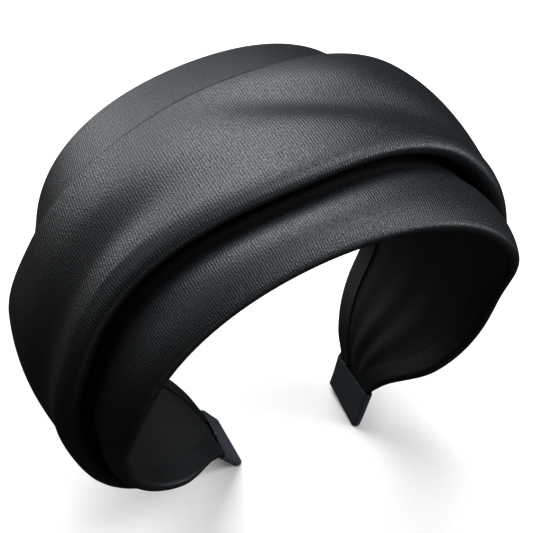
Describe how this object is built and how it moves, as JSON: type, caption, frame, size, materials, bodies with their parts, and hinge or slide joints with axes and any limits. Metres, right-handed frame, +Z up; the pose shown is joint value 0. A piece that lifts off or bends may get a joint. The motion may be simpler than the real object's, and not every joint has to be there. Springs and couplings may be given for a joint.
{
  "type": "wide headband",
  "caption": "Wide satin headband with a box pleat along the arch, a lined inside and ribbon-wrapped tips; it springs over the head to hold the hair back.",
  "frame": {"origin": "on the surface that the band stands on, under the middle of its box", "axes": "+Z up to the crown, +X from the left tip to the right tip, -Y to the front edge, the one nearer the forehead"},
  "size_m": [0.153, 0.092, 0.1627],
  "materials": {
    "satin": "near-black heavy satin with a soft cool sheen",
    "lining": "matte near-black lining cloth",
    "grosgrain": "matte ribbed grosgrain ribbon, dark grey"
  },
  "bodies": {
    "root": {"satin_cover": "satin", "lining": "lining", "ribbon_left": "grosgrain", "ribbon_right": "grosgrain"}
  },
  "joints": []
}
